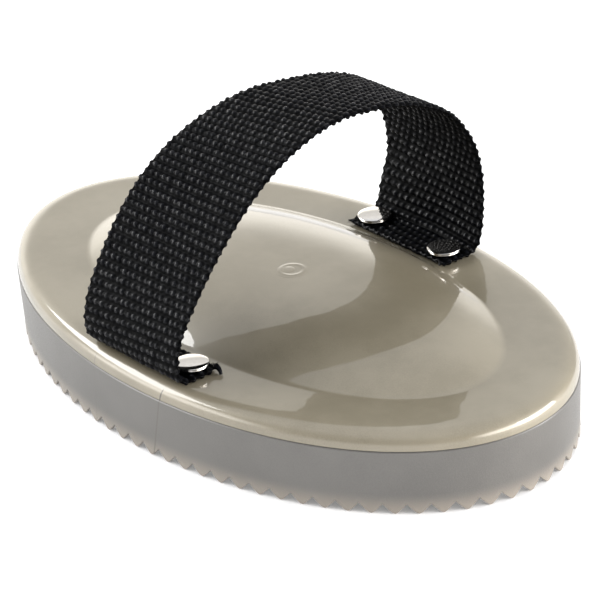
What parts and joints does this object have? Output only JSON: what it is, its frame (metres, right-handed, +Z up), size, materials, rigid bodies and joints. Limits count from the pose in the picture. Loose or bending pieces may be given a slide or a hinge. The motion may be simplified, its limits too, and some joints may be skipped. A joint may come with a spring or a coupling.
{
  "type": "curry comb",
  "caption": "Oval moulded plastic curry comb with toothed wall and inner rings, and a webbing hand strap riveted across its domed back.",
  "frame": {"origin": "middle of the comb's outline, on the plane of the tooth tips", "axes": "+X along the comb's long way to its slightly broader end, +Y along the strap to its far foot, +Z up"},
  "size_m": [0.186, 0.1094, 0.0773],
  "materials": {
    "pearl_plastic": "glossy pearlescent champagne",
    "satin_plastic": "satin, fine pearl fleck",
    "webbing": "black nylon webbing",
    "nickel": "bright nickel plate"
  },
  "bodies": {
    "comb": {"back_plate": "pearl_plastic", "outer_tooth_wall": "satin_plastic", "middle_tooth_ring": "satin_plastic", "inner_tooth_ring": "satin_plastic", "rivet_cap_near_left": "nickel", "rivet_post_near_left": "nickel", "rivet_cap_near_right": "nickel", "rivet_post_near_right": "nickel", "rivet_cap_far_left": "nickel", "rivet_post_far_left": "nickel", "rivet_cap_far_right": "nickel", "rivet_post_far_right": "nickel"},
    "strap": {"hand_strap": "webbing"}
  },
  "joints": [
    {"name": "strap_press", "type": "slide", "parent": "comb", "child": "strap", "axis": [0, 0, -1], "range_m": [0, 0.015], "stiffness_N_per_m": 250, "deforming": ["hand_strap"]}
  ]
}
